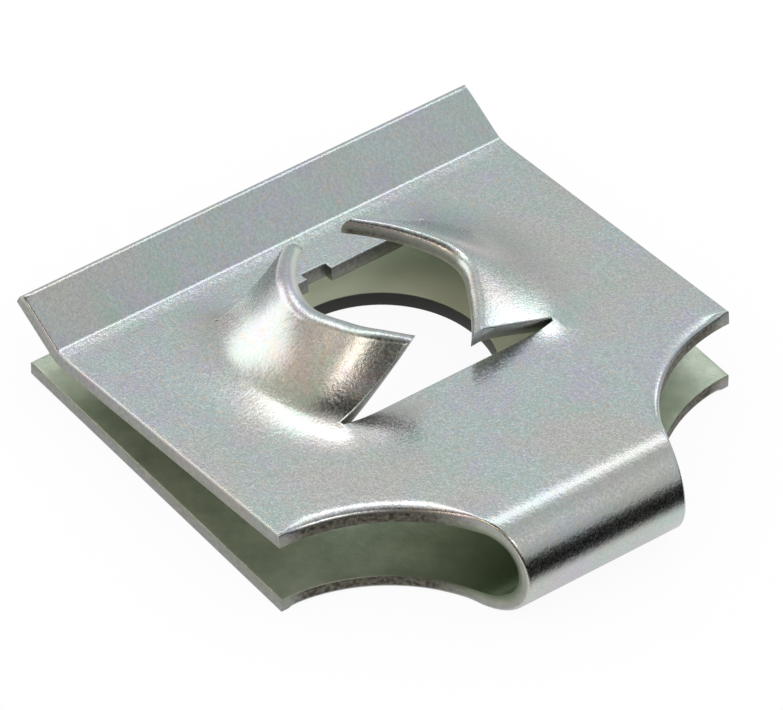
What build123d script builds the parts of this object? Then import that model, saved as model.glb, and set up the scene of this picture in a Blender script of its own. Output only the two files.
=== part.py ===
"""One-piece spring clip nut: a pierced and slit strip of spring steel, folded into a U."""

import os
from math import asin, cos, radians, sin, sqrt

from build123d import *

# ---------------------------------------------------------------- driving dimensions, mm and degrees
# Origin: centre of the screw hole on the underside. X runs to the fold, Y across, Z up the screw.

sheet = 0.5  # thickness of the strip
strip_width = 16.0
screw_radius = 3.175  # over the screw's thread
screw_clearance = 0.225  # round the screw in the lower leaf
thread_engagement = 0.525  # how far the prongs reach into the screw's thread

# Lower leaf
lower_reach = 6.3  # screw axis to the free end
hole_to_fold = 9.0  # screw axis to where the fold begins

# Fold
fold_bore = 1.1  # inside radius
leaf_fall = 5.5  # how far the upper leaf falls towards the mouth

# Upper leaf and its lead-in lip
crease_to_fold = 13.86  # along the leaf
lip_length = 2.0
lip_rise = 27.0  # above level
crease_radius = 0.3  # on the upper face

# Corner notches, each one punch stroke through the flat strip, centred on the middle of the fold
notch_radius = 5.2

# Edge rolled over by the blanking die, on the outer faces only
die_roll = 0.12

# Slits and the two thread prongs, measured in the plane of the upper leaf
prong_half_width = 3.05
slit_gap = 0.08
prong_root_radius = 4.85  # circle on which the prongs leave the leaf
relief_width = 0.85  # nick in the slit next to the mouth
relief_depth = 0.3
tip_reach = 1.0  # from the strip's middle line to the tips of a rim

# Each prong: rim heights over the leaf at the mouth side, middle and fold side, the slope of its
# rim there, and how much of the flank is bent by the root and by the rim
near_prong = dict(side=-1, heights=(1.68, 1.8, 1.9), slopes=(40, 60, 60), root_pull=0.7, rim_pull=0.6)
far_prong = dict(side=1, heights=(1.55, 1.25, 1.0), slopes=(5, 22, 5), root_pull=0.5, rim_pull=0.6)

# Modelling tolerance
touching = 0.01

# ---------------------------------------------------------------- derived
half_width = strip_width / 2
hole_radius = screw_radius + screw_clearance
thread_reach = screw_radius - thread_engagement  # screw axis to the middle of a rim
fold_outside = fold_bore + sheet
fold_middle = fold_bore + sheet / 2  # neutral layer, as long as it was in the flat strip
fold_turn = 180 + leaf_fall
half_fold = radians(fold_turn) / 2 * fold_middle
slit_half = prong_half_width + slit_gap
notch_steps = 8
fold_centre = Vector(hole_to_fold, fold_outside)  # in the XZ plane


def on_fold(radius, turn):
    """Point in XZ on the fold at a radius, turned from the lower leaf's tangent point."""
    return fold_centre + Vector(0, -radius).rotate(Axis.Z, turn)


leaf_start = on_fold(fold_outside, fold_turn)
towards_mouth = Vector(-cos(radians(leaf_fall)), -sin(radians(leaf_fall)))
crease = leaf_start + towards_mouth * crease_to_fold
lip_end = crease + Vector(-cos(radians(lip_rise)), sin(radians(lip_rise))) * lip_length
leaf_top_at_screw = leaf_start.Y - leaf_start.X * towards_mouth.Y / towards_mouth.X
fold_on_leaf = (leaf_start - Vector(0, leaf_top_at_screw)).length
leaf_plane = Plane(
    origin=(0, 0, leaf_top_at_screw),
    x_dir=(-towards_mouth.X, 0, -towards_mouth.Y),
    z_dir=(towards_mouth.Y, 0, -towards_mouth.X),
)
arc_weight = cos(asin(prong_half_width / prong_root_radius))


def arc_row(mouth_side, middle, fold_side):
    """Control points in space of the arc through three points given in the leaf's plane."""
    mouth_side, middle, fold_side = map(Vector, (mouth_side, middle, fold_side))
    pole = (middle * (2 + 2 * arc_weight) - mouth_side - fold_side) / (2 * arc_weight)
    return [leaf_plane.from_local_coords(point) for point in (mouth_side, pole, fold_side)]


def prong_face(side, heights, slopes, root_pull, rim_pull):
    """Upper face of a prong, from its root circle on the leaf to its raised rim."""
    root, bend, flank, rim = [], [], [], []
    stations = (-prong_half_width, 0, prong_half_width)
    for x, reach, height, slope in zip(stations, (tip_reach, thread_reach, tip_reach), heights, slopes):
        root_y = sqrt(prong_root_radius**2 - x**2)
        slope = radians(slope)
        root.append((x, side * root_y, 0))
        bend.append((x, side * (root_y - root_pull), 0))
        flank.append((x, side * (reach + rim_pull * cos(slope)), height - rim_pull * sin(slope)))
        rim.append((x, side * reach, height))
    rows = [arc_row(*row) for row in (root, bend, flank, rim)]
    return Face.make_bezier_surface(rows, [[1, arc_weight, 1]] * len(rows))


def wound_notch(radius):
    """Edge of a notch wound round the fold at a radius: the flat strip's circle, rolled up."""
    points = []
    for step in range(notch_steps + 1):
        turn = fold_turn * step / notch_steps
        along = half_fold - radians(turn) * fold_middle
        at = on_fold(radius, turn)
        points.append(Vector(at.X, half_width - sqrt(notch_radius**2 - along**2), at.Y))
    return Edge.make_spline(points)


def on_outer_skin(face):
    """Whether a face is on the side of the strip that ends up outside the fold."""
    at = Plane.XZ.to_local_coords(face.position_at(0.5, 0.5))
    return outer_path.distance_to(Vector(at.X, at.Y)) < touching


os.makedirs("parts", exist_ok=True)

# ---------------------------------------------------------------- cutter for the notches in the fold
with BuildPart() as fold_notches:
    wall = Face.make_surface_from_curves(wound_notch(fold_bore / 2), wound_notch(fold_outside + sheet))
    extrude(wall, amount=notch_radius, dir=(0, 1, 0))
    mirror(about=Plane.XZ)

# ---------------------------------------------------------------- folded strip
with BuildPart() as clip_nut:
    # section of the sheet, drawn along its outer face and thickened inwards
    with BuildSketch(Plane.XZ):
        with BuildLine() as profile:
            Line((-lower_reach, 0), (hole_to_fold, 0))
            CenterArc(fold_centre, fold_outside, -90, fold_turn)
            Line(leaf_start, crease)
            Line(crease, lip_end)
            fillet(vertices().sort_by_distance(crease)[0], crease_radius)
            outer_path = profile.line
            offset(amount=-sheet, side=Side.LEFT)
        make_face()
    extrude(amount=half_width, both=True)

    # corner notches: flat circles in each leaf, then the same circle wound round the fold
    for leaf, fold_start, depth in ((Plane.XY, hole_to_fold, sheet), (leaf_plane, fold_on_leaf, -sheet)):
        with BuildSketch(leaf):
            with Locations((fold_start + half_fold, -half_width), (fold_start + half_fold, half_width)):
                Circle(notch_radius)
            with Locations((fold_start, 0)):
                Rectangle(
                    notch_radius, 2 * strip_width, align=(Align.MAX, Align.CENTER), mode=Mode.INTERSECT
                )
        extrude(amount=depth, mode=Mode.SUBTRACT)
    add(fold_notches.part, mode=Mode.SUBTRACT)

    # die roll along the whole outline, on the outer faces
    outer_edges = clip_nut.faces().filter_by(on_outer_skin).edges()
    strip_ends = outer_edges.filter_by(Axis.Y).sort_by(Axis.X)[:2]
    fillet(outer_edges.filter_by(Axis.Y, reverse=True) + strip_ends, die_roll)

    # screw hole
    with BuildSketch():
        Circle(hole_radius)
    extrude(amount=sheet, mode=Mode.SUBTRACT)

    # opening for the prongs, its straight sides being the two slits
    with BuildSketch(leaf_plane):
        Circle(prong_root_radius)
        Rectangle(2 * slit_half, 2 * prong_root_radius, mode=Mode.INTERSECT)
        with Locations((-slit_half, 0)):
            Rectangle(2 * relief_depth, relief_width)
    extrude(amount=-sheet, mode=Mode.SUBTRACT)

    # prongs, of the sheet's own thickness square to their upper face
    for prong in (near_prong, far_prong):
        face = prong_face(**prong)
        thicken(face, amount=sheet if face.normal_at(face.center()).Z < 0 else -sheet)

clip_nut.part.label = "clip_nut"
export_step(clip_nut.part, "parts/clip_nut.step")
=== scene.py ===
"""Studio scene of a spring clip nut: the folded steel strip, its pressed prongs and its zinc plating."""

import math

import bmesh
import bpy
import numpy as np
from bpy.props import FloatProperty, FloatVectorProperty, PointerProperty
from mathutils import Matrix, Vector


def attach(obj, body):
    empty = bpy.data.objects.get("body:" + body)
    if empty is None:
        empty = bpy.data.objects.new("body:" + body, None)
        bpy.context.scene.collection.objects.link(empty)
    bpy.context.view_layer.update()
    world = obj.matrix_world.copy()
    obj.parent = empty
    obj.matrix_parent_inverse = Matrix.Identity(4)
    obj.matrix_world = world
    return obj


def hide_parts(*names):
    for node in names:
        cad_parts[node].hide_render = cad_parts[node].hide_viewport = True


bl_info = {
    "name": "Spring clip nut",
    "version": (1, 0, 0),
    "blender": (4, 5, 0),
    "location": "3D View > Sidebar > Clip Nut",
    "description": "Builds a zinc plated spring clip nut and the studio it stands in",
    "category": "Add Mesh",
}

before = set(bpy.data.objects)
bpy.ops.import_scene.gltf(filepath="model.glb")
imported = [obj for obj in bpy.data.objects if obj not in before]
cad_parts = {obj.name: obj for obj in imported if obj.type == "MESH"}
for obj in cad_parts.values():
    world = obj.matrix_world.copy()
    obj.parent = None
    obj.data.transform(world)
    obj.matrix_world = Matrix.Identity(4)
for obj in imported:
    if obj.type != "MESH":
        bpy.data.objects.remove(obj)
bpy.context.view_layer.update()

MM = 0.001


# ---------------------------------------------------------------- colours and nodes


def linear(code):
    """Linear RGB of an sRGB hex colour."""
    parts = [int(code[i : i + 2], 16) / 255 for i in (1, 3, 5)]
    return tuple(p / 12.92 if p <= 0.04045 else ((p + 0.055) / 1.055) ** 2.4 for p in parts)


# a Mix node repeats the names of its sockets, so they go by place: the share of the second value and the two
# values, or the share of the second colour and the two colours, and where the mixed colour comes out
MIX_NUMBERS = (0, 2, 3)
MIX_COLOURS = (0, 6, 7)
COLOUR_OUT = 2
IN_COLOUR = {"data_type": "RGBA"}


def add_node(tree, kind, settings=None, inputs=None):
    """Add a node, set its properties, and set its inputs or, where an output socket is given, link them."""
    node = tree.nodes.new(kind)
    for name, value in (settings or {}).items():
        setattr(node, name, value)
    for name, value in (inputs or {}).items():
        socket = node.inputs[name]
        if isinstance(value, bpy.types.NodeSocket):
            tree.links.new(value, socket)
        elif socket.type == "RGBA":
            socket.default_value = (*value, 1)
        else:
            socket.default_value = value
    return node


# ---------------------------------------------------------------- sizes and finish


def length(name, about, mm):
    """A length property whose default is given in millimetres."""
    return FloatProperty(name=name, description=about, default=mm * MM, unit="LENGTH", precision=5)


def angle(name, about, degrees):
    """An angle property whose default is given in degrees."""
    return FloatProperty(name=name, description=about, default=math.radians(degrees), subtype="ANGLE")


def colour(name, about, code):
    """A colour property whose default is an sRGB hex colour."""
    return FloatVectorProperty(
        name=name, description=about, default=linear(code), subtype="COLOR", size=3, min=0, max=1
    )


def own_names(group):
    """Names of the properties that a group itself defines."""
    return [name for name in group.bl_rna.properties.keys() if name not in ("rna_type", "name")]


class ClipNutSizes(bpy.types.PropertyGroup):
    """Sizes of the strip, its folds and its openings."""

    sheet: length("Sheet", "Thickness of the strip", 0.5)
    half_width: length("Half width", "Half the width of the strip", 8.0)
    hole_radius: length("Hole", "Radius of the screw hole in the lower leaf", 3.4)
    lower_reach: length("Lower reach", "Screw axis to the lower leaf's free end", 6.3)
    hole_to_fold: length("Hole to fold", "Screw axis to where the fold begins", 9.0)
    fold_bore: length("Fold bore", "Inside radius of the fold", 1.1)
    leaf_fall: angle("Leaf fall", "How far the upper leaf falls towards the mouth", 5.5)
    crease_to_fold: length("Crease to fold", "Length of the upper leaf to the lip's crease", 13.86)
    lip_length: length("Lip length", "Length of the lead-in lip", 2.0)
    lip_rise: angle("Lip rise", "Angle of the lip above level", 27.0)
    crease_radius: length("Crease radius", "Radius of the crease on the upper face", 0.3)
    notch_radius: length("Notch radius", "Radius of the punch that cuts the corner notches", 5.2)
    side_roll: length("Side roll", "Radius of the upper edge along the strip's sides and ends", 0.08)
    notch_roll: length("Notch roll", "How far in the punch rolls the edge over along the notches", 0.4)
    fold_roll: length("Fold roll", "Radius of the edge round the fold", 0.1)
    slit_roll: length("Slit roll", "Radius of the upper edge of the slits and of the screw hole", 0.05)
    prong_roll: length("Prong roll", "Radius of the upper edge up a prong's sides", 0.06)
    burr: length("Burr", "Radius of the lower edges", 0.03)
    # painted shade: how far out of the fold the film is painted darker
    fold_shade_reach: length("Film reach", "How far out of the fold its darker film reaches", 2.5)
    prong_half_width: length("Prong half width", "Half the width of a prong along the leaf", 3.05)
    slit_gap: length("Slit gap", "Width of a slit at its end", 0.08)
    root_radius: length("Root radius", "Circle on which the prongs leave the leaf", 4.85)
    relief_width: length("Relief width", "Width of the nick in the slit next to the mouth", 0.85)
    relief_depth: length("Relief depth", "Depth of that nick", 0.3)
    lip_roll: length("Lip roll", "How far in the edge is rolled over along the lip's end", 0.2)
    roll_depth: length("Roll depth", "How deep the edge is rolled over at most", 0.18)
    crease_swell: length("Crease swell", "How far the leaf is bent up along the crease", 0.032)
    crease_reach: length("Crease reach", "How far from the crease the leaf is bent up", 0.45)
    swell: length("Swell", "How far the leaf is drawn up where a prong leaves it", 0.18)
    swell_reach: length("Swell reach", "How far out from the prongs' roots the leaf is drawn up", 1.7)


class ClipNutFinish(bpy.types.PropertyGroup):
    """Colours of the plating, with the painted shade deep in the fold and round the screw hole and the
    painted light on the inner faces round the hole.
    """

    zinc: colour("Zinc", "Bright zinc, the body colour", "#C7D0D0")
    green_tint: colour("Green tint", "Passivation film where it is thickest", "#BFCDC7")
    lilac_tint: colour("Lilac tint", "Passivation film where it is thinnest", "#CAC7D3")
    tan_tint: colour("Tan tint", "Dull specks and stains of the film", "#D1C9C1")
    inner_tint: colour("Inner tint", "The film inside, where it dries slowly", "#D0D6C6")
    inner_dark: colour("Inner dark", "Streaks where that film is thicker", "#AEB9A9")
    # painted light: the inner faces round the screw hole, where light falls in through the opening, are
    # painted lighter
    hole_tint: colour("Hole tint", "The film inside round the screw hole, where it drains", "#E8ECDC")
    # painted shade: deep in the fold, where shade falls, the film is painted darker
    fold_tint: colour("Fold tint", "The film deep in the fold, where the plating is thin", "#87987F")
    sheared: colour("Sheared", "Sheared edge of the steel, thinly plated", "#434036")
    # painted shade: the sheared edge round the screw hole and inside the fold is painted darker
    sheared_deep: colour("Sheared, deep", "That edge round the screw hole and inside the fold", "#262A24")
    sheared_light: colour("Sheared, light", "Bright flecks of that edge", "#78756A")


# ---------------------------------------------------------------- forms, in millimetres and radians

ANGLES = ("leaf_fall", "lip_rise")
BEVEL = math.radians(20)  # where the wide arc of a cut edge's roll meets the tight one
MERGE = 0.0002  # points closer than this are one
SHARP = math.radians(50)  # faces that meet at more than this are shaded apart

# how much of the bare cut face shows along each kind of edge, from 0 to 1
SIDE_WEAR = 0.6
NOTCH_WEAR = 1.0
FOLD_WEAR = 0.45
SLIT_WEAR = 0.75

# counts of points: across the strip, along the lip, round the crease, along a straight run of a leaf or round
# the fold, round each end of a notch, and up a prong
COLUMNS = 61
LIP = 12
CREASE = 9
RUN = 41
NOTCH = 40
ROWS = 48
# along the nicked slit: each straight end, each side of the nick, and its floor, which makes it as many as
# COLUMNS, because neighbouring stretches share the point at their corner
NICK_END = 22
NICK_SIDE = 5
NICKED = (NICK_END, NICK_SIDE, COLUMNS + 4 - 2 * (NICK_END + NICK_SIDE))
# on each arc of the roll along the outline, round the opening and round the screw hole, and on the burr
OUTLINE_ARC = 5
OPENING_ARC = 4
HOLE_ARC = 3
BURR_ARC = 4

# round a notch, from its corner: where the even steps begin, where the roll has reached its full width, and
# how long before the fold it starts to narrow
NOTCH_EVEN = 0.045
NOTCH_FULL = 0.15
NOTCH_FADE = 0.3
NOTCH_CLEAR = 0.02  # from a notch's corner to the last point of the straight run beside it

# rows of points from the screw hole out to the lower leaf's outline, as shares of the way
HOLE_ROWS = np.array([0, 0.02, 0.1, 0.35, 0.65, 0.9, 0.98, 1])
# and from the opening out to the upper leaf's outline, closer near the opening
OPENING_ROWS = np.linspace(0, 1, 26) ** 1.6
# where up a prong's side its upper edge has narrowed and where it starts to widen again, as shares of the way
# to the rim's roll
PINCH_FROM = 0.1
PINCH_TO = 0.8
MIRROR = np.array([1, -1])  # carries (u, v) over to the other side of the leaf


def smooth(x, stations, values):
    """A smooth curve through values at stations, taken at x: between two stations it is the cubic whose
    slope at each is that of the parabola through the station and its two neighbours."""
    stations, values = np.asarray(stations, float), np.asarray(values, float)
    slopes = np.gradient(values, stations, edge_order=2)
    x = np.asarray(x, float)
    k = np.clip(np.searchsorted(stations, x) - 1, 0, len(stations) - 2)
    step = stations[k + 1] - stations[k]
    t = (x - stations[k]) / step
    rise = t * t * (3 - 2 * t)
    start, end = t * (1 - t) ** 2 * slopes[k], t * t * (t - 1) * slopes[k + 1]
    return values[k] + (values[k + 1] - values[k]) * rise + step * (start + end)


class Strip:
    """The flat strip and how it is folded. s runs along its middle layer, from the lip through the
    upper leaf, where it is the distance from the screw axis, round the fold and along the lower leaf;
    y runs across it, and depth goes down from the face that ends up outside."""

    def __init__(self, sizes):
        for name in own_names(sizes):
            value = getattr(sizes, name)
            setattr(self, name, value if name in ANGLES else value / MM)
        fall, outside = self.leaf_fall, self.fold_bore + self.sheet
        self.along = np.array([math.cos(fall), 0, math.sin(fall)])
        self.across = np.array([0.0, 1.0, 0.0])
        self.up = np.array([-math.sin(fall), 0, math.cos(fall)])
        self.outside = outside
        self.fold_centre = np.array([self.hole_to_fold, 0, outside])
        start = self.fold_centre + outside * self.up
        self.leaf_origin = np.array([0, 0, start[2] - start[0] * math.tan(fall)])
        self.fold_start = start[0] / math.cos(fall)
        self.fold_mid_radius = self.fold_bore + self.sheet / 2
        self.fold_turn = math.pi + fall
        self.fold_end = self.fold_start + self.fold_turn * self.fold_mid_radius
        self.hole_at = self.fold_end + self.hole_to_fold
        self.end = self.hole_at + self.lower_reach
        self.notch_at = (self.fold_start + self.fold_end) / 2
        self.crease_turn = fall + self.lip_rise
        tangent = self.crease_radius * math.tan(self.crease_turn / 2)
        self.crease_start = self.fold_start - self.crease_to_fold + tangent
        self.crease_mid_radius = self.crease_radius + self.sheet / 2
        self.crease_end = self.crease_start - self.crease_mid_radius * self.crease_turn
        self.start = self.crease_end - (self.lip_length - tangent)
        self.slit = self.prong_half_width + self.slit_gap
        self.root_end = math.sqrt(self.root_radius**2 - self.prong_half_width**2)

    def place(self, s, y, depth):
        """Points in space: straight runs on the lip and the leaves, and arcs about the crease's and
        the fold's own centres in between, along which the middle layer keeps its length."""
        s, y, depth = (np.asarray(a, float)[..., None] for a in np.broadcast_arrays(s, y, depth))
        bend = self.bend(s) * self.up
        leaf = self.leaf_origin + s * self.along - depth * self.up + bend
        turn = np.clip((self.crease_start - s) / self.crease_mid_radius, 0, self.crease_turn)
        away = self.up * np.cos(turn) + self.along * np.sin(turn)
        outwards = self.up * np.sin(turn) - self.along * np.cos(turn)
        centre = self.leaf_origin + self.crease_start * self.along + self.crease_radius * self.up
        lip = centre - (self.crease_radius + depth) * away
        lip = lip + np.maximum(self.crease_end - s, 0) * outwards + bend
        turn = np.clip((s - self.fold_start) / self.fold_mid_radius, 0, self.fold_turn)
        radial = self.up * np.cos(turn) + self.along * np.sin(turn)
        onwards = self.along * np.cos(turn) - self.up * np.sin(turn)
        fold = self.fold_centre + (self.outside - depth) * radial
        fold = fold + np.maximum(s - self.fold_end, 0) * onwards
        middle = np.where(s < self.crease_start, lip, np.where(s > self.fold_start, fold, leaf))
        return middle + y * self.across

    def bend(self, s):
        """How far the leaf is bent up at s: a parabola that begins crease_reach from the crease."""
        return self.crease_swell * np.clip(1 - (s - self.crease_start) / self.crease_reach, 0, 1) ** 2

    def inwards(self, s, depth):
        """From 0 on the outer face to 1 on the inner one, and up to 2 in the middle of the fold, where it
        sets how deep the painted shade is: the depth as a share of the sheet, times one more than half a sine
        wave that starts as far before the fold as the painted shade reaches and ends as far after it."""
        start, end = self.fold_start - self.fold_shade_reach, self.fold_end + self.fold_shade_reach
        share = np.clip((s - start) / (end - start), 0, 1)
        return depth / self.sheet * (1 + np.sin(math.pi * share))

    def on_leaf(self, points):
        """Points given along the leaf, across it and up from its upper face, put in space."""
        return self.leaf_origin + points @ np.stack([self.along, self.across, self.up])

    def drawn(self, u, v):
        """Points of the upper leaf's upper face and unit normals there, in the leaf's own frame. The leaf
        rises towards the nearer root arc by swell times the cube of one less the distance over
        swell_reach; past the end of an arc the distance is to that end."""
        u, v = np.broadcast_arrays(np.asarray(u, float), np.asarray(v, float))
        signed = np.stack([u, v], axis=-1)
        quarter = np.abs(signed)
        past_end = (quarter[..., 0] * self.root_end > quarter[..., 1] * self.prong_half_width)[..., None]
        radius = np.hypot(u, v)[..., None]
        from_end = quarter - np.array([self.prong_half_width, self.root_end])
        to_end = np.linalg.norm(from_end, axis=-1, keepdims=True)
        distance = np.where(past_end, to_end, np.maximum(radius - self.root_radius, 0))
        outwards = np.where(past_end, from_end / to_end, quarter / radius) * np.sign(signed)
        left = np.clip(1 - distance / self.swell_reach, 0, 1)
        slope = 3 * self.swell / self.swell_reach * left**2
        normal = np.concatenate([slope * outwards, np.ones_like(slope)], axis=-1)
        height = self.swell * left[..., 0] ** 3 + self.bend(u)
        normal = normal / np.linalg.norm(normal, axis=-1, keepdims=True)
        return np.stack([u, v, height], axis=-1), normal


class Prong:
    """A thread prong. At each place u along the leaf its section is a cubic that leaves the drawn-up leaf
    at the root circle and arrives at the rim with a given slope. The rim's reach, height and slope, and how
    far the section keeps its slope at the root and at the rim, are smooth curves through their stations.
    roll is how far the rim's upper edge is rolled over, and wear how much of its cut face shows at its two
    ends."""

    def __init__(self, strip, side, stations, reaches, heights, slopes, root_pulls, rim_pulls, roll, wear):
        self.strip, self.side, self.stations, self.roll, self.wear = strip, side, stations, roll, wear
        self.reaches, self.heights, self.slopes = reaches, heights, np.radians(slopes)
        self.root_pulls, self.rim_pulls = root_pulls, rim_pulls

    def surface(self, u, w):
        """Upper face at u along the leaf and w from the root, 0, to the rim, 1."""
        u, w = np.broadcast_arrays(np.asarray(u, float), np.asarray(w, float))
        strip = self.strip
        curves = self.reaches, self.heights, self.slopes, self.root_pulls, self.rim_pulls
        root = np.sqrt(strip.root_radius**2 - u**2)
        x = u / strip.prong_half_width
        reach, height, slope, root_pull, rim_pull = (smooth(x, self.stations, values) for values in curves)
        draw = 3 * strip.swell / strip.swell_reach * root / strip.root_radius
        weights = (1 - w) ** 3, 3 * w * (1 - w) ** 2, 3 * w**2 * (1 - w), w**3
        across = root, root - root_pull, reach + rim_pull * np.cos(slope), reach
        up = strip.swell, strip.swell + root_pull * draw, height - rim_pull * np.sin(slope), height
        across, up = (sum(a * b for a, b in zip(weights, row)) for row in (across, up))
        return np.stack([u, self.side * across, up], axis=-1)

    def normal(self, u, w):
        """Unit normal of the upper face, from the slopes of the surface along u and w."""
        u, w = np.broadcast_arrays(np.asarray(u, float), np.asarray(w, float))
        step = 1e-4
        along_u = self.surface(u + step, w) - self.surface(u - step, w)
        along_w = self.surface(u, w + step) - self.surface(u, w - step)
        normal = np.cross(along_u, along_w)
        normal = normal * np.where(normal[..., 2:] < 0, -1, 1)
        return normal / np.linalg.norm(normal, axis=-1, keepdims=True)


# each prong at stations along the leaf, which are shares of its half width, from its end by the mouth to its
# end by the fold: the rim's distance from the leaf's middle line, its height and its slope in degrees, and
# the pulls of the section; then the rim's roll, and how much of its cut face shows at those two ends
PRONGS = (
    dict(
        side=1,
        stations=(-1, -0.5, 0, 0.5, 1),
        reaches=(0.83, 2.07, 2.71, 2.03, 0.92),
        heights=(1.6, 1.41, 1.15, 1.08, 1.0),
        slopes=(2, 4, 8, 5, 2),
        root_pulls=(0.9, 0.9, 0.9, 0.9, 0.9),
        rim_pulls=(0.65, 0.65, 0.65, 0.65, 0.65),
        roll=0.36,
        wear=(1.0, 0.0),
    ),
    dict(
        side=-1,
        stations=(-1, -0.5, 0, 0.4, 0.75, 1),
        reaches=(1.07, 2.36, 2.7, 2.3, 1.72, 1.05),
        heights=(1.8, 2.02, 1.93, 1.95, 2.0, 1.88),
        slopes=(48, 56, 55, 52, 46, 42),
        root_pulls=(1.2, 0.9, 0.85, 0.75, 0.75, 1.1),
        rim_pulls=(0.6, 0.6, 0.6, 0.5, 0.5, 0.5),
        roll=0.3,
        wear=(0.1, 0.1),
    ),
)


def cut_edge(strip, roll, dip, wear, steps):
    """Section of a cut edge at each point of a line: rows of the share of the way from the edge itself to
    the line where its roll begins, of depth, and of how much of the cut face shows. The rows are the roll,
    which is roll wide and dip deep and is made of a wide arc as far as BEVEL and a tight one from there to
    the wall, the middle of the wall, and a quarter circle of the burr. Where roll and dip are equal the two
    arcs are one quarter circle. The cut face shows as the fourth power of the turn. Each arc of the roll has
    steps points."""
    flat = np.ones_like(roll)[None]
    side, rise = math.sin(BEVEL), 1 - math.cos(BEVEL)
    tight = (dip - roll * rise / side) / (1 - rise / side)
    wide = (roll - tight * (1 - side)) / side
    turn = np.append(np.linspace(0, BEVEL, steps)[:-1], np.linspace(BEVEL, math.pi / 2, steps))[:, None]
    first, rest = np.minimum(turn, BEVEL), np.maximum(turn, BEVEL)
    width = wide * np.sin(first) + tight * (np.sin(rest) - side)
    fallen = wide * (1 - np.cos(first)) + tight * (1 - rise - np.cos(rest))
    worn = (turn / (math.pi / 2)) ** 4 * flat
    burr, deep = np.minimum(strip.burr, roll), strip.sheet * flat
    turn = np.linspace(0, math.pi / 2, BURR_ARC)[:, None]
    share = [1 - width / roll, 0 * flat, (1 - np.cos(turn)) * burr / roll, flat]
    depth = [fallen, (dip + deep - burr) / 2, deep - burr * (1 - np.sin(turn)), deep]
    shown = [worn, flat, np.cos(turn) * flat, 0 * flat]
    return np.concatenate(share), np.concatenate(depth), np.concatenate(shown) * wear


class Shell:
    """Grids of points gathered into one closed mesh, with how much of the cut face shows at each point and
    how far the point is from the outer face towards the inner one; in the fold and on the screw hole's wall
    this rises to 2, to set how deep the painted shade is."""

    def __init__(self):
        self.points, self.faces, self.cut, self.inner, self.count = [], [], [], [], 0

    def grid(self, points, closed=False, cut=0.0, inner=0.0):
        """Add a grid of points, rows by columns, joined end to start along its rows if closed."""
        rows, columns = points.shape[:2]
        index = np.arange(rows * columns).reshape(rows, columns) + self.count
        if closed:
            index = np.concatenate([index, index[:, :1]], axis=1)
        quads = np.stack([index[:-1, :-1], index[:-1, 1:], index[1:, 1:], index[1:, :-1]], axis=-1)
        self.points.append(points.reshape(-1, 3))
        self.faces.append(quads.reshape(-1, 4))
        for store, values in ((self.cut, cut), (self.inner, inner)):
            store.append(np.broadcast_to(values, (rows, columns)).ravel())
        self.count += rows * columns

    def mesh(self, name):
        """Make the mesh, merge the points that fall together and turn its faces outwards."""
        mesh = bpy.data.meshes.new(name)
        points, faces = np.concatenate(self.points) * MM, np.concatenate(self.faces)
        mesh.from_pydata(points.tolist(), [], faces.tolist())
        for label, store in (("cut", self.cut), ("inner", self.inner)):
            attribute = mesh.attributes.new(label, "FLOAT", "POINT")
            attribute.data.foreach_set("value", np.concatenate(store).astype("f"))
        work = bmesh.new()
        work.from_mesh(mesh)
        bmesh.ops.remove_doubles(work, verts=work.verts, dist=MERGE * MM)
        bmesh.ops.dissolve_degenerate(work, edges=work.edges, dist=MERGE * MM)
        bmesh.ops.recalc_face_normals(work, faces=work.faces)
        open_edges = sum(not edge.is_manifold for edge in work.edges)
        work.to_mesh(mesh)
        work.free()
        if open_edges:
            raise RuntimeError(f"{name} has {open_edges} open edges")
        mesh.shade_smooth()
        mesh.set_sharp_from_angle(angle=SHARP)
        return mesh


def side_line(strip, share):
    """One side of the strip's outline for y > 0 as rows of (s, y, roll, wear), from the lip's corner to
    the lower leaf's: straight edges and the notch's arc about its own centre, moved inwards by that share
    of the roll, which is widest along the notch."""
    inset = share * strip.side_roll
    at_fold = math.acos((strip.notch_at - strip.fold_start) / (strip.notch_radius + strip.fold_roll))
    corner = math.asin(inset / strip.notch_radius)
    to_fold = np.append(corner, np.linspace(NOTCH_EVEN, at_fold, NOTCH))
    over_fold = np.linspace(at_fold, math.pi - at_fold, RUN)[1:-1]
    turn = np.concatenate([to_fold, over_fold, math.pi - to_fold[::-1]])
    stations = NOTCH_EVEN, NOTCH_FULL, at_fold - NOTCH_FADE, at_fold
    mirrored = np.minimum(turn, math.pi - turn)
    rolls = strip.side_roll, strip.notch_roll, strip.notch_roll, strip.fold_roll
    roll = np.interp(mirrored, stations, rolls)
    wear = np.interp(mirrored, stations, (SIDE_WEAR, NOTCH_WEAR, NOTCH_WEAR, FOLD_WEAR))
    radius = strip.notch_radius + share * roll
    notch_s = strip.notch_at - radius * np.cos(turn)
    notch_y = strip.half_width - radius * np.sin(turn)
    if share == 1:
        # the line to which the faces are joined has points just where the fold starts and ends
        for at, s in ((NOTCH, strip.fold_start), (NOTCH + RUN - 1, strip.fold_end)):
            notch_s[at] = s
    before = np.concatenate(
        [
            np.linspace(strip.start + strip.lip_roll, strip.crease_end, LIP)[:-1],
            np.linspace(strip.crease_end, strip.crease_start, CREASE)[:-1],
            np.linspace(strip.crease_start, notch_s[0] - NOTCH_CLEAR, RUN),
        ]
    )
    before[0] = strip.start + share * strip.lip_roll
    after = np.linspace(notch_s[-1] + NOTCH_CLEAR, strip.end - inset, RUN)
    columns = [np.concatenate([before, notch_s, after])]
    straight = (strip.half_width - inset, strip.side_roll, SIDE_WEAR)
    for value, along_notch in zip(straight, (notch_y, roll, wear)):
        runs = np.full(len(before), value), along_notch, np.full(len(after), value)
        columns.append(np.concatenate(runs))
    line = np.stack(columns, axis=1)
    line[0, 2] = strip.lip_roll
    return line


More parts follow.
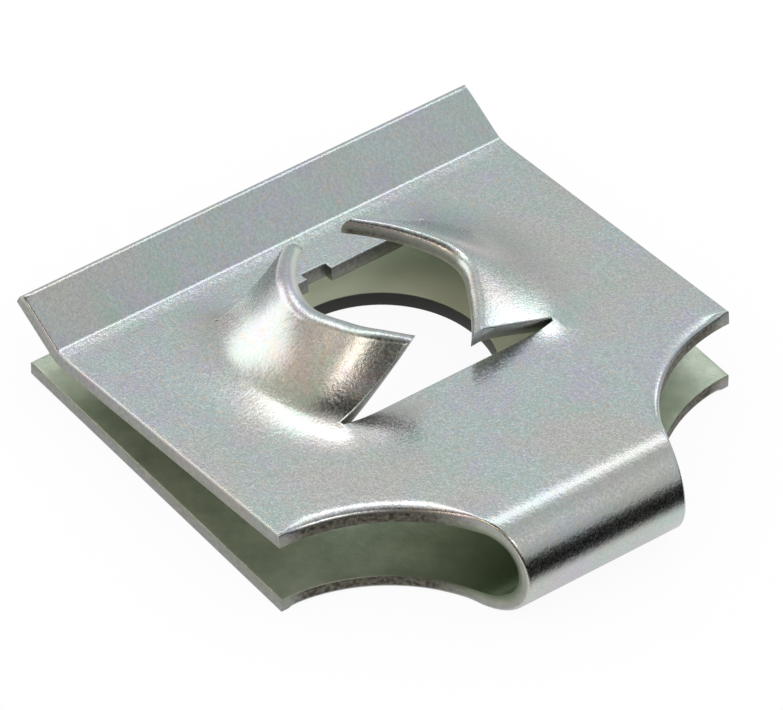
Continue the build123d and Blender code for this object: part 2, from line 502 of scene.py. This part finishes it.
def strip_surfaces(strip, shell):
    """The strip's two faces and its cut outline, as grids of straight lines between the same side lines,
    and in the lower leaf of rays from the screw hole to the outline. Returns what the upper leaf is joined
    to: the stretch of the inner side line along it, from the fold to the crease, and the points across."""
    inner, outer = side_line(strip, 1.0), side_line(strip, 0.0)
    across = np.linspace(1, -1, COLUMNS)
    flip = np.array([1, -1, 1, 1])

    def end_line(row, way):
        """A straight line across the strip, with the roll and wear of its own row."""
        line = np.tile(row, (COLUMNS, 1))
        line[:, 1] *= way * across
        return line

    def outline(side):
        """The closed outline: one side, the lower end, the other side and the lip's end."""
        lower, upper = end_line(side[-1], 1), end_line(side[0], -1)
        return np.concatenate([side[:-1], lower[:-1], (side * flip)[::-1][:-1], upper[:-1]])

    inside, outside = outline(inner), outline(outer)
    roll, wear = inside[:, 2], inside[:, 3]
    share, depth, shown = cut_edge(strip, roll, np.minimum(roll, strip.roll_depth), wear, OUTLINE_ARC)
    line = outside + (inside - outside) * share[..., None]
    s, y = line[..., 0], line[..., 1]
    shell.grid(strip.place(s, y, depth), True, shown, strip.inwards(s, depth))

    at_crease = LIP - 1 + CREASE - 1
    at_fold = at_crease + RUN + NOTCH
    after_fold = at_fold + RUN - 1
    # rim of the lower leaf: the fold's end, one side, the free end and the other side
    side = inner[after_fold:]
    fold_line, lower_line = end_line(side[0], -1), end_line(side[-1], 1)
    rim = np.concatenate([fold_line[:-1], side[:-1], lower_line[:-1], (side * flip)[::-1][:-1]])[:, :2]
    centre = np.array([strip.hole_at, 0.0])
    bearing = np.arctan2(*(rim - centre).T[::-1])
    circle = np.stack([np.cos(bearing), np.sin(bearing)], axis=1)
    hole = centre + (strip.hole_radius + strip.slit_roll) * circle
    points = hole + (rim - hole) * HOLE_ROWS[:, None, None]
    for depth in (0.0, strip.sheet):
        for rows in (inner[: at_crease + 1], inner[at_fold : after_fold + 1]):
            s, y = rows[:, :1], rows[:, 1:2] * across
            shell.grid(strip.place(s, y, depth), inner=strip.inwards(s, depth))
        s, y = points[..., 0], points[..., 1]
        shell.grid(strip.place(s, y, depth), True, inner=strip.inwards(s, depth))

    roll = np.full(len(circle), strip.slit_roll)
    share, depth, shown = cut_edge(strip, roll, roll, 1.0, HOLE_ARC)
    line = centre + (strip.hole_radius + strip.slit_roll * share[..., None]) * circle
    # the screw hole's wall counts as 1 to 2 inwards, so that painted shade darkens it
    shell.grid(strip.place(line[..., 0], line[..., 1], depth), True, shown, 1 + shown)
    return inner[at_crease : at_fold + 1, :2][::-1], across


def slit_line(strip, inset, counts):
    """A slit's edge in the leaf, as (u, v) from one end to the other; u is measured away from the screw
    axis, and inset moves the line into the leaf. counts are the points of each straight end, of each side of
    the relief's nick and of its floor; without a side there is no nick."""
    u, nick = strip.slit + inset, strip.relief_width / 2 + inset
    v_end = math.sqrt(strip.root_radius**2 - strip.slit**2) + inset
    straight, side, floor = counts
    if not side:
        v = np.linspace(-v_end, v_end, straight)
        return np.stack([np.full(straight, u), v], axis=1)
    deep = u + strip.relief_depth
    half_u = np.append(np.full(straight, u), np.linspace(u, deep, side)[1:])
    half_v = np.append(np.linspace(-v_end, -nick, straight), np.full(side - 1, -nick))
    half = np.stack([half_u, half_v], axis=1)
    middle = np.stack([np.full(floor - 2, deep), np.linspace(-nick, nick, floor)[1:-1]], axis=1)
    return np.concatenate([half, middle, (half * MIRROR)[::-1]])


def prong_surfaces(strip, shell, prong, u):
    """A prong's two faces at places u along it. Returns its stretch of the cut edge, up one side, round the
    rim and down the other: points just inside the edge and on it, the normals at both, roll and wear."""
    # at the rim the section's speed is three times its pull, which tells where the rim's roll begins
    last = 1 - prong.roll / (3 * np.mean(prong.rim_pulls))
    climb = np.linspace(0, last, ROWS)
    pinch = strip.prong_roll
    stations = 0, PINCH_FROM * last, PINCH_TO * last, last
    side_roll = np.interp(climb, stations, (strip.slit_roll, pinch, pinch, prong.roll))
    along, w = prong.side * u, np.append(climb, 1.0)[:, None]
    face, face_up = prong.surface(along, w[:-1]), prong.normal(along, w[:-1])
    shell.grid(strip.on_leaf(face))
    shell.grid(strip.on_leaf(face - strip.sheet * face_up), inner=1.0)
    first, second = along[0] + prong.side * pinch, along[-1] - prong.side * pinch
    beyond = np.concatenate([[first], along, [second]])
    edge, edge_up = prong.surface(beyond, w), prong.normal(beyond, w)

    # rows and columns of both grids in the order of the loop; the edge's sides are its first and last columns
    arc, rise = len(u), np.arange(ROWS)
    row = np.concatenate([rise, np.full(arc, ROWS), rise[::-1]])
    column = np.concatenate([np.zeros(ROWS, int), np.arange(arc), np.full(ROWS, arc - 1)])
    inside = np.minimum(row, ROWS - 1), column
    outside = row, column + 1 - (column == 0) + (column == arc - 1)
    roll = np.concatenate([side_roll, np.full(arc, prong.roll), side_roll[::-1]])
    wear = np.full(len(row), SIDE_WEAR)
    wear[ROWS + 1 : ROWS + arc - 1] = np.interp(along[1:-1] / strip.prong_half_width, (-1, 1), prong.wear)
    return face[inside], edge[outside], face_up[inside], edge_up[outside], roll, wear


def leaf_surfaces(strip, shell, side, across, prongs):
    """The upper leaf round its opening, the prongs, and the one cut edge that runs round the opening: along
    each slit, up a prong's side, round its rim and down again. side is the leaf's side line from the fold."""
    u = np.linspace(1, -1, len(side) - 2) * (strip.prong_half_width - strip.prong_roll)
    root = np.stack([u, np.sqrt(strip.root_radius**2 - u**2)], axis=1)
    fold_slits, mouth_slits = (
        [sign * slit_line(strip, inset, counts) for inset in (strip.slit_roll, 0)]
        for sign, counts in ((1, (COLUMNS, 0, 0)), (-1, NICKED))
    )
    opening = np.concatenate([fold_slits[0], root, mouth_slits[0], (root * MIRROR)[::-1]])
    fold_line = np.stack([np.full(COLUMNS, side[0, 0]), -across * side[0, 1]], axis=1)
    crease_line = np.stack([np.full(COLUMNS, side[-1, 0]), across * side[-1, 1]], axis=1)
    rim = np.concatenate([fold_line, side[1:-1], crease_line, (side * MIRROR)[::-1][1:-1]])
    points = opening + (rim - opening) * OPENING_ROWS[:, None, None]
    face, up = strip.drawn(points[..., 0], points[..., 1])
    for depth in (0.0, strip.sheet):
        shell.grid(strip.on_leaf(face - depth * up), True, inner=strip.inwards(points[..., 0], depth))

    loop = []
    for slits, prong in zip((fold_slits, mouth_slits), prongs):
        (inside, inside_up), (outside, outside_up) = (strip.drawn(*line.T) for line in slits)
        roll, wear = np.full(COLUMNS, strip.slit_roll), np.full(COLUMNS, SLIT_WEAR)
        loop.append((inside, outside, inside_up, outside_up, roll, wear))
        loop.append(prong_surfaces(strip, shell, prong, u))
    inside, outside, inside_up, outside_up, roll, wear = map(np.concatenate, zip(*loop))
    share, depth, shown = cut_edge(strip, roll, roll, wear, OPENING_ARC)
    share, deep = share[..., None], depth[..., None]
    up = outside_up + (inside_up - outside_up) * share
    points = outside + (inside - outside) * share - deep * up
    shell.grid(strip.on_leaf(points), True, shown, depth / strip.sheet)


# ---------------------------------------------------------------- finish

# noises: the size of their features in millimetres, their detail and their roughness. The plating's own grain
# is about 0.02 mm, too fine to show, and is drawn as coarse as it needs to be
NOISES = {
    "grain": (0.085, 2.0, 0.6),
    "lumps": (0.25, 2.0, 0.5),
    "bands": (3.5, 2.0, 0.5),
    "clouds": (1.1, 3.0, 0.6),
    "spills": (4.2, 2.0, 0.6),
    "dust": (0.22, 3.0, 0.6),
    "runs": (0.9, 3.0, 0.6),
    "tears": (0.12, 2.0, 0.5),
}
# values in turn: what each is worked out from, the low and high end of that, and what they become. The facets
# of the grain that face the light look brighter than their neighbours; this is a painted glint, the grain's
# colour made brighter and darker at random
SPREADS = {
    "green": ("bands", 0.35, 0.65, 0.0, 1.0),
    "lilac": ("clouds", 0.42, 0.66, 0.0, 1.0),
    "stains": ("spills", 0.5, 0.64, 0.0, 0.6),
    "specks": ("dust", 0.5, 0.72, 0.0, 1.0),
    "facets": ("grain", 0.3, 0.7, 0.89, 1.11),
    "streaks": ("runs", 0.35, 0.65, 0.0, 0.8),
    "flecks": ("tears", 0.35, 0.7, 0.0, 1.0),
    # 0 round the screw hole, where the inner faces are painted lighter, and 1 further out
    "off_hole": ("from_hole", 4.0 * MM, 6.5 * MM, 0.0, 1.0),
    "inside": ("inner", 0.0, 1.0, 0.0, 1.0),
    "on_inside": ("inner", 0.5, 1.0, 0.0, 1.0),
    # painted shade deep in the fold and on the screw hole's wall, for the film and for the sheared edges
    "in_fold": ("inner", 1.0, 1.7, 0.0, 1.0),
    "deep_in": ("inner", 1.0, 2.0, 0.0, 1.0),
    "outer_rough": ("grain", 0.3, 0.7, 0.2, 0.3),
    "inner_metal": ("off_hole", 0.0, 1.0, 0.25, 0.75),
}
# coats of colour in turn: the result, how it is blended, the share of its second part, and the two parts
COATS = (
    ("outer", "MIX", "green", "zinc", "green_tint"),
    ("outer", "MIX", "lilac", "outer", "lilac_tint"),
    ("outer", "MIX", "stains", "outer", "tan_tint"),
    ("outer", "MIX", "specks", "outer", "tan_tint"),
    # painted glints: the colour is made brighter and darker with the grain
    ("outer", "MULTIPLY", "whole", "outer", "facets"),
    ("inner_film", "MIX", "streaks", "inner_tint", "inner_dark"),
    # painted light: round the screw hole the inner film is painted lighter
    ("inner_film", "MIX", "off_hole", "hole_tint", "inner_film"),
    ("plated", "MIX", "on_inside", "outer", "inner_film"),
    # painted shade: deep in the fold the colour is painted darker
    ("plated", "MIX", "in_fold", "plated", "fold_tint"),
    ("shear", "MIX", "flecks", "sheared", "sheared_light"),
    # painted shade: the sheared edges deep in the fold and in the screw hole are painted darker
    ("shear", "MIX", "deep_in", "shear", "sheared_deep"),
    ("plated", "MIX", "cut", "plated", "shear"),
)
# numbers in turn, mixed in the same way: the roughness, with that of the inner faces and of the cut ones, and
# how metallic the film lets it look
NUMBERS = (
    ("rough", "inside", "outer_rough", 0.36),
    ("rough", "cut", "rough", 0.45),
    ("metal", "on_inside", 1.0, "inner_metal"),
)
BUMP = 0.0048  # height of the grain in millimetres


def zinc_plated_steel(colours):
    """Bright zinc on spring steel, barrel plated and passivated: a metal with a fine grain that sparkles, a
    thin clear film that tints it faintly green, lilac and tan, duller on the inner faces, and brown-grey and
    rough on the sheared edges, where the plating is thin. Painted shade darkens the film deep in the fold and
    the sheared edges there and in the screw hole, painted light lightens the inner faces round the screw
    hole, and the grain's colour carries painted glints."""
    material = bpy.data.materials.new("zinc_plated_steel")
    material.use_nodes = True
    tree = material.node_tree
    tree.nodes.clear()
    place = add_node(tree, "ShaderNodeTexCoord").outputs["Object"]
    flat = add_node(tree, "ShaderNodeVectorMath", {"operation": "MULTIPLY"}, {0: place, 1: (1, 1, 0)})
    from_hole = add_node(tree, "ShaderNodeVectorMath", {"operation": "LENGTH"}, {0: flat.outputs[0]})
    parts = {"whole": 1.0, "from_hole": from_hole.outputs["Value"]}
    for name in own_names(colours):
        parts[name] = getattr(colours, name)
    for name in ("cut", "inner"):
        parts[name] = add_node(tree, "ShaderNodeAttribute", {"attribute_name": name}).outputs["Fac"]
    for name, (size, detail, rough) in NOISES.items():
        inputs = {"Vector": place, "Scale": 1 / (size * MM), "Detail": detail, "Roughness": rough}
        parts[name] = add_node(tree, "ShaderNodeTexNoise", None, inputs).outputs[0]
    for name, (source, *ends) in SPREADS.items():
        inputs = dict(enumerate((parts[source], *ends)))
        parts[name] = add_node(tree, "ShaderNodeMapRange", None, inputs).outputs[0]
    for result, blend, *names in COATS:
        inputs = dict(zip(MIX_COLOURS, (parts[name] for name in names)))
        coat = add_node(tree, "ShaderNodeMix", {**IN_COLOUR, "blend_type": blend}, inputs)
        parts[result] = coat.outputs[COLOUR_OUT]
    for result, *names in NUMBERS:
        inputs = dict(zip(MIX_NUMBERS, (parts.get(name, name) for name in names)))
        parts[result] = add_node(tree, "ShaderNodeMix", None, inputs).outputs[0]
    height = add_node(tree, "ShaderNodeMath", {"operation": "ADD"}, {0: parts["grain"], 1: parts["lumps"]})
    inputs = {"Strength": 1.0, "Distance": BUMP * MM, "Height": height.outputs[0]}
    bump = add_node(tree, "ShaderNodeBump", None, inputs)
    inputs = {
        "Base Color": parts["plated"],
        "Metallic": parts["metal"],
        "Roughness": parts["rough"],
        "Normal": bump.outputs[0],
    }
    shader = add_node(tree, "ShaderNodeBsdfPrincipled", None, inputs)
    add_node(tree, "ShaderNodeOutputMaterial", None, {"Surface": shader.outputs[0]})
    return material


# ---------------------------------------------------------------- studio, in millimetres and degrees

FLOOR_REACH = 600
PAPER = "#E7E7E7"
PAPER_ROUGH = 0.9
# pool of light on the floor, as the metal sees it: its middle, how far it reaches, how soft its rim is and
# what share of the light is left outside it
POOL_CENTRE = (-14, 0)
POOL_RADIUS = 27
POOL_SOFT = 2
POOL_OUTSIDE = 0.65
# where on the fold's side the light on the floor ends, how softly, and what share of it is left
FLOOR_EDGE = 13.3
FLOOR_SOFT = 1
FLOOR_BEYOND = 0.01
# shadow under the part: how near the part has to be, and what share of the light is left in it, as the camera
# sees it and as the metal does
SHADOW_REACH = 8
SHADOW_SEEN = 0.94
SHADOW_MIRRORED = 0.6

# the lamps: how far away they stand, and for each its name, azimuth, elevation, width and height as the part
# sees them, brightness and colour
LAMP_AWAY = 400
LAMPS = (
    ("window", 205, 17, 38, 38, 1.25, "#FFFFFF"),
    ("left_softbox", 170, 53, 27, 9, 2.6, "#FFFFFF"),
    ("back_softbox", 132, 55, 32, 10, 1.8, "#F8FCFF"),
    ("front_softbox", 265, 47.5, 19, 11, 2.9, "#FFEBE0"),
    ("right_softbox", 4, 54, 22, 14, 4.5, "#FFFFFF"),
    ("side_strip", 113, 25, 9, 14, 2.4, "#FFFFFF"),
)

# grey level of the walls against the sine of the elevation, all round and on the fold's side
DARK_OVERHEAD = ((0.96, 0.35), (1.0, 0.3))
WALLS = ((0.0, 0.6), (0.3, 0.62), (0.5, 0.73), (0.62, 0.73), (0.72, 0.68), (0.9, 0.7), *DARK_OVERHEAD)
FAR_WALLS = ((0.0, 0.01), (0.21, 0.015), (0.3, 0.6), (0.6, 0.68), (0.9, 0.68), *DARK_OVERHEAD)
# where along X the one turns into the other, and where along Y the light's warm tint turns cool, on a sphere
# of radius one round the part
FAR_SIDE = (0.1, 0.5)
COOL_SIDE = (-0.6, 0.5)
WARM_TINT = "#EEE3CF"
COOL_TINT = "#F3FBFC"
# dark shapes in the walls: azimuth, elevation, radii of core and rim, and what share of the light is left
SHADES = (
    (306, 42, 12, 18, 0.1),
    (266, 72, 13, 21, 0.01),
)

# the camera: where it stands as the part sees it, how far it is turned about its view, how far it is moved
# aside and up in that view, its lens and sensor, and the nearest and furthest that it shows
CAMERA_AZIMUTH = -37.225
CAMERA_ELEVATION = 42.247
CAMERA_ROLL = 0.853
CAMERA_AWAY = 251.1
CAMERA_ASIDE = 0.251
CAMERA_UP = 0.843
LENS = 399.08046
SENSOR = 36
CLIP_NEAR = 10
CLIP_FAR = 10000


def direction(azimuth, elevation):
    """Unit vector towards an azimuth, counted from X towards Y, and an elevation."""
    a, e = math.radians(azimuth), math.radians(elevation)
    return Vector((math.cos(a) * math.cos(e), math.sin(a) * math.cos(e), math.sin(e)))


def show(scene, name, data):
    """A new object of that data, in the scene."""
    item = bpy.data.objects.new(name, data)
    scene.collection.objects.link(item)
    return item


def white_paper():
    """Matt white paper, seen as pure white. Where the part stands close over it there is a faint shadow,
    which the metal sees deeper. The metal sees the paper bright only in the pool of light round the part,
    dimmer outside it, and nearly black beyond FLOOR_EDGE on the fold's side."""
    paper = bpy.data.materials.new("white_paper")
    paper.use_nodes = True
    tree = paper.node_tree
    tree.nodes.clear()
    ray = add_node(tree, "ShaderNodeLightPath").outputs
    place = add_node(tree, "ShaderNodeTexCoord").outputs["Object"]
    along = add_node(tree, "ShaderNodeSeparateXYZ", None, {0: place}).outputs["X"]
    inputs = {0: place, 1: (POOL_CENTRE[0] * MM, POOL_CENTRE[1] * MM, 0)}
    away = add_node(tree, "ShaderNodeVectorMath", {"operation": "DISTANCE"}, inputs).outputs["Value"]
    inputs = {"Distance": SHADOW_REACH * MM}
    cover = add_node(tree, "ShaderNodeAmbientOcclusion", {"samples": 8}, inputs).outputs["AO"]
    pool = (POOL_RADIUS - POOL_SOFT) * MM, (POOL_RADIUS + POOL_SOFT) * MM
    edge = (FLOOR_EDGE - FLOOR_SOFT) * MM, (FLOOR_EDGE + FLOOR_SOFT) * MM
    spreads = (
        ("LINEAR", cover, 0, 1, SHADOW_SEEN, 1.0),
        ("LINEAR", cover, 0, 1, SHADOW_MIRRORED, 1.0),
        ("SMOOTHSTEP", away, *pool, 1.0, POOL_OUTSIDE),
        ("LINEAR", along, *edge, 1.0, FLOOR_BEYOND),
    )
    levels = []
    for course, *values in spreads:
        settings = {"interpolation_type": course}
        levels.append(add_node(tree, "ShaderNodeMapRange", settings, dict(enumerate(values))).outputs[0])
    faint, lit, *others = levels
    for level in others:
        lit = add_node(tree, "ShaderNodeMath", {"operation": "MULTIPLY"}, {0: lit, 1: level}).outputs[0]
    inputs = dict(zip(MIX_NUMBERS, (ray["Is Camera Ray"], lit, faint)))
    strength = add_node(tree, "ShaderNodeMix", None, inputs).outputs[0]
    glow = add_node(tree, "ShaderNodeEmission", None, {"Strength": strength}).outputs[0]
    inputs = {"Base Color": linear(PAPER), "Roughness": PAPER_ROUGH}
    matt = add_node(tree, "ShaderNodeBsdfPrincipled", None, inputs).outputs[0]
    seen = ray["Is Camera Ray"]
    for kind in ("Is Glossy Ray", "Is Transmission Ray"):
        seen = add_node(tree, "ShaderNodeMath", {"operation": "MAXIMUM"}, {0: seen, 1: ray[kind]}).outputs[0]
    both = add_node(tree, "ShaderNodeMixShader", None, {0: seen, 1: matt, 2: glow}).outputs[0]
    add_node(tree, "ShaderNodeOutputMaterial", None, {"Surface": both})
    return paper


def studio_walls():
    """Surroundings: grey walls that darken overhead, a dark skirting on the +X side, the dark shapes of the
    camera and its stand in front, and a tint that goes from warm on the -Y side to cool on the +Y side."""
    world = bpy.data.worlds.new("studio")
    world.use_nodes = True
    tree = world.node_tree
    tree.nodes.clear()
    way = add_node(tree, "ShaderNodeTexCoord").outputs["Generated"]
    towards = add_node(tree, "ShaderNodeSeparateXYZ", None, {0: way}).outputs
    greys = []
    for stops in (WALLS, FAR_WALLS):
        ramp = add_node(tree, "ShaderNodeValToRGB", None, {0: towards["Z"]})
        elements = ramp.color_ramp.elements
        while len(elements) < len(stops):
            elements.new(0.5)
        for element, (at, grey) in zip(elements, stops):
            element.position, element.color = at, (grey, grey, grey, 1)
        greys.append(ramp.outputs[0])
    layers = []
    tints = linear(WARM_TINT), linear(COOL_TINT)
    for axis, ends, pair in (("X", FAR_SIDE, greys), ("Y", COOL_SIDE, tints)):
        share = add_node(tree, "ShaderNodeMapRange", None, {0: towards[axis], 1: ends[0], 2: ends[1]})
        inputs = dict(zip(MIX_COLOURS, (share.outputs[0], *pair)))
        layers.append(add_node(tree, "ShaderNodeMix", IN_COLOUR, inputs).outputs[COLOUR_OUT])
    inputs = dict(zip(MIX_COLOURS, (1.0, *layers)))
    colour_of_light = add_node(tree, "ShaderNodeMix", {**IN_COLOUR, "blend_type": "MULTIPLY"}, inputs)
    strength = 1.0
    for azimuth, elevation, core, reach, left in SHADES:
        inputs = {0: way, 1: direction(azimuth, elevation)}
        near = add_node(tree, "ShaderNodeVectorMath", {"operation": "DOT_PRODUCT"}, inputs).outputs["Value"]
        ends = (math.cos(math.radians(radius)) for radius in (reach, core))
        inputs = dict(enumerate((near, *ends, 1.0, left)))
        shade = add_node(tree, "ShaderNodeMapRange", None, inputs).outputs[0]
        product = add_node(tree, "ShaderNodeMath", {"operation": "MULTIPLY"}, {0: shade, 1: strength})
        strength = product.outputs[0]
    inputs = {"Color": colour_of_light.outputs[COLOUR_OUT], "Strength": strength}
    back = add_node(tree, "ShaderNodeBackground", None, inputs)
    add_node(tree, "ShaderNodeOutputWorld", None, {"Surface": back.outputs[0]})
    return world


def lay_floor(scene):
    """The floor, a sheet of white paper."""
    reach = FLOOR_REACH * MM
    corners = [(-reach, -reach, 0), (reach, -reach, 0), (reach, reach, 0), (-reach, reach, 0)]
    mesh = bpy.data.meshes.new("floor")
    mesh.from_pydata(corners, [], [(0, 1, 2, 3)])
    mesh.materials.append(white_paper())
    floor = show(scene, "floor", mesh)


def hang_lamps(scene):
    """The lamps, each turned towards the part and as strong as its brightness times its area."""
    away = LAMP_AWAY * MM
    for name, azimuth, elevation, width, height, light, code in LAMPS:
        lamp = bpy.data.lights.new(name, "AREA")
        lamp.shape = "RECTANGLE"
        lamp.size, lamp.size_y = (2 * away * math.tan(math.radians(w / 2)) for w in (width, height))
        lamp.energy = light * math.pi * lamp.size * lamp.size_y
        lamp.color = linear(code)
        way = direction(azimuth, elevation)
        holder = show(scene, name, lamp)
        holder.location = way * away
        holder.rotation_euler = way.to_track_quat("Z", "Y").to_euler()


def stand_camera(scene):
    """The camera, turned about its own view and then moved along, across and up in that view."""
    camera = bpy.data.cameras.new("camera")
    camera.lens, camera.sensor_width = LENS, SENSOR
    camera.clip_start, camera.clip_end = CLIP_NEAR * MM, CLIP_FAR * MM
    back = direction(CAMERA_AZIMUTH, CAMERA_ELEVATION)
    level = Vector((-back.y, back.x, 0)).normalized()
    upright = back.cross(level)
    roll = math.radians(CAMERA_ROLL)
    right = level * math.cos(roll) + upright * math.sin(roll)
    up = upright * math.cos(roll) - level * math.sin(roll)
    turned = Matrix((right, up, back)).transposed()
    stand = turned @ Vector((CAMERA_ASIDE, CAMERA_UP, CAMERA_AWAY)) * MM
    scene.camera = show(scene, "camera", camera)
    scene.camera.matrix_world = Matrix.Translation(stand) @ turned.to_4x4()


# ---------------------------------------------------------------- operators


class CLIPNUT_OT_nut(bpy.types.Operator):
    """Build the clip nut, its prongs and its plating"""

    bl_idname = "clipnut.nut"
    bl_label = "Clip Nut"

    def execute(self, context):
        strip = Strip(context.scene.clip_nut_sizes)
        prongs = [Prong(strip, **form) for form in PRONGS]
        shell = Shell()
        side, across = strip_surfaces(strip, shell)
        leaf_surfaces(strip, shell, side, across, prongs)
        mesh = shell.mesh("clip_nut_sheet")
        mesh.materials.append(zinc_plated_steel(context.scene.clip_nut_finish))
        piece = show(context.scene, "clip_nut_sheet", mesh)
        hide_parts("clip_nut")
        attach(piece, "root")
        return {"FINISHED"}


class CLIPNUT_OT_stage(bpy.types.Operator):
    """Set out the floor, the lamps, the surroundings and the camera"""

    bl_idname = "clipnut.stage"
    bl_label = "Studio"

    def execute(self, context):
        scene = context.scene
        lay_floor(scene)
        scene.world = studio_walls()
        hang_lamps(scene)
        stand_camera(scene)
        scene.view_settings.view_transform = "Standard"
        return {"FINISHED"}


class CLIPNUT_PT_panel(bpy.types.Panel):
    """Panel that lists the pieces, their sizes and their finish"""

    bl_idname = "CLIPNUT_PT_panel"
    bl_label = "Clip Nut"
    bl_space_type = "VIEW_3D"
    bl_region_type = "UI"
    bl_category = "Clip Nut"

    def draw(self, context):
        layout = self.layout
        for group in (context.scene.clip_nut_sizes, context.scene.clip_nut_finish):
            box = layout.box()
            for name in own_names(group):
                box.prop(group, name)
        for operator in OPERATORS:
            layout.operator(operator.bl_idname)


OPERATORS = (CLIPNUT_OT_nut, CLIPNUT_OT_stage)
CLASSES = (ClipNutSizes, ClipNutFinish, *OPERATORS, CLIPNUT_PT_panel)


def register():
    """Register the classes and give every scene its sizes and its finish."""
    for cls in CLASSES:
        bpy.utils.register_class(cls)
    bpy.types.Scene.clip_nut_sizes = PointerProperty(type=ClipNutSizes)
    bpy.types.Scene.clip_nut_finish = PointerProperty(type=ClipNutFinish)


def unregister():
    """Take away what register has set up."""
    del bpy.types.Scene.clip_nut_finish
    del bpy.types.Scene.clip_nut_sizes
    for cls in reversed(CLASSES):
        bpy.utils.unregister_class(cls)


def main():
    """Register the add-on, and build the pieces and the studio."""
    register()
    bpy.ops.clipnut.nut()
    bpy.ops.clipnut.stage()


if __name__ == "__main__":
    main()
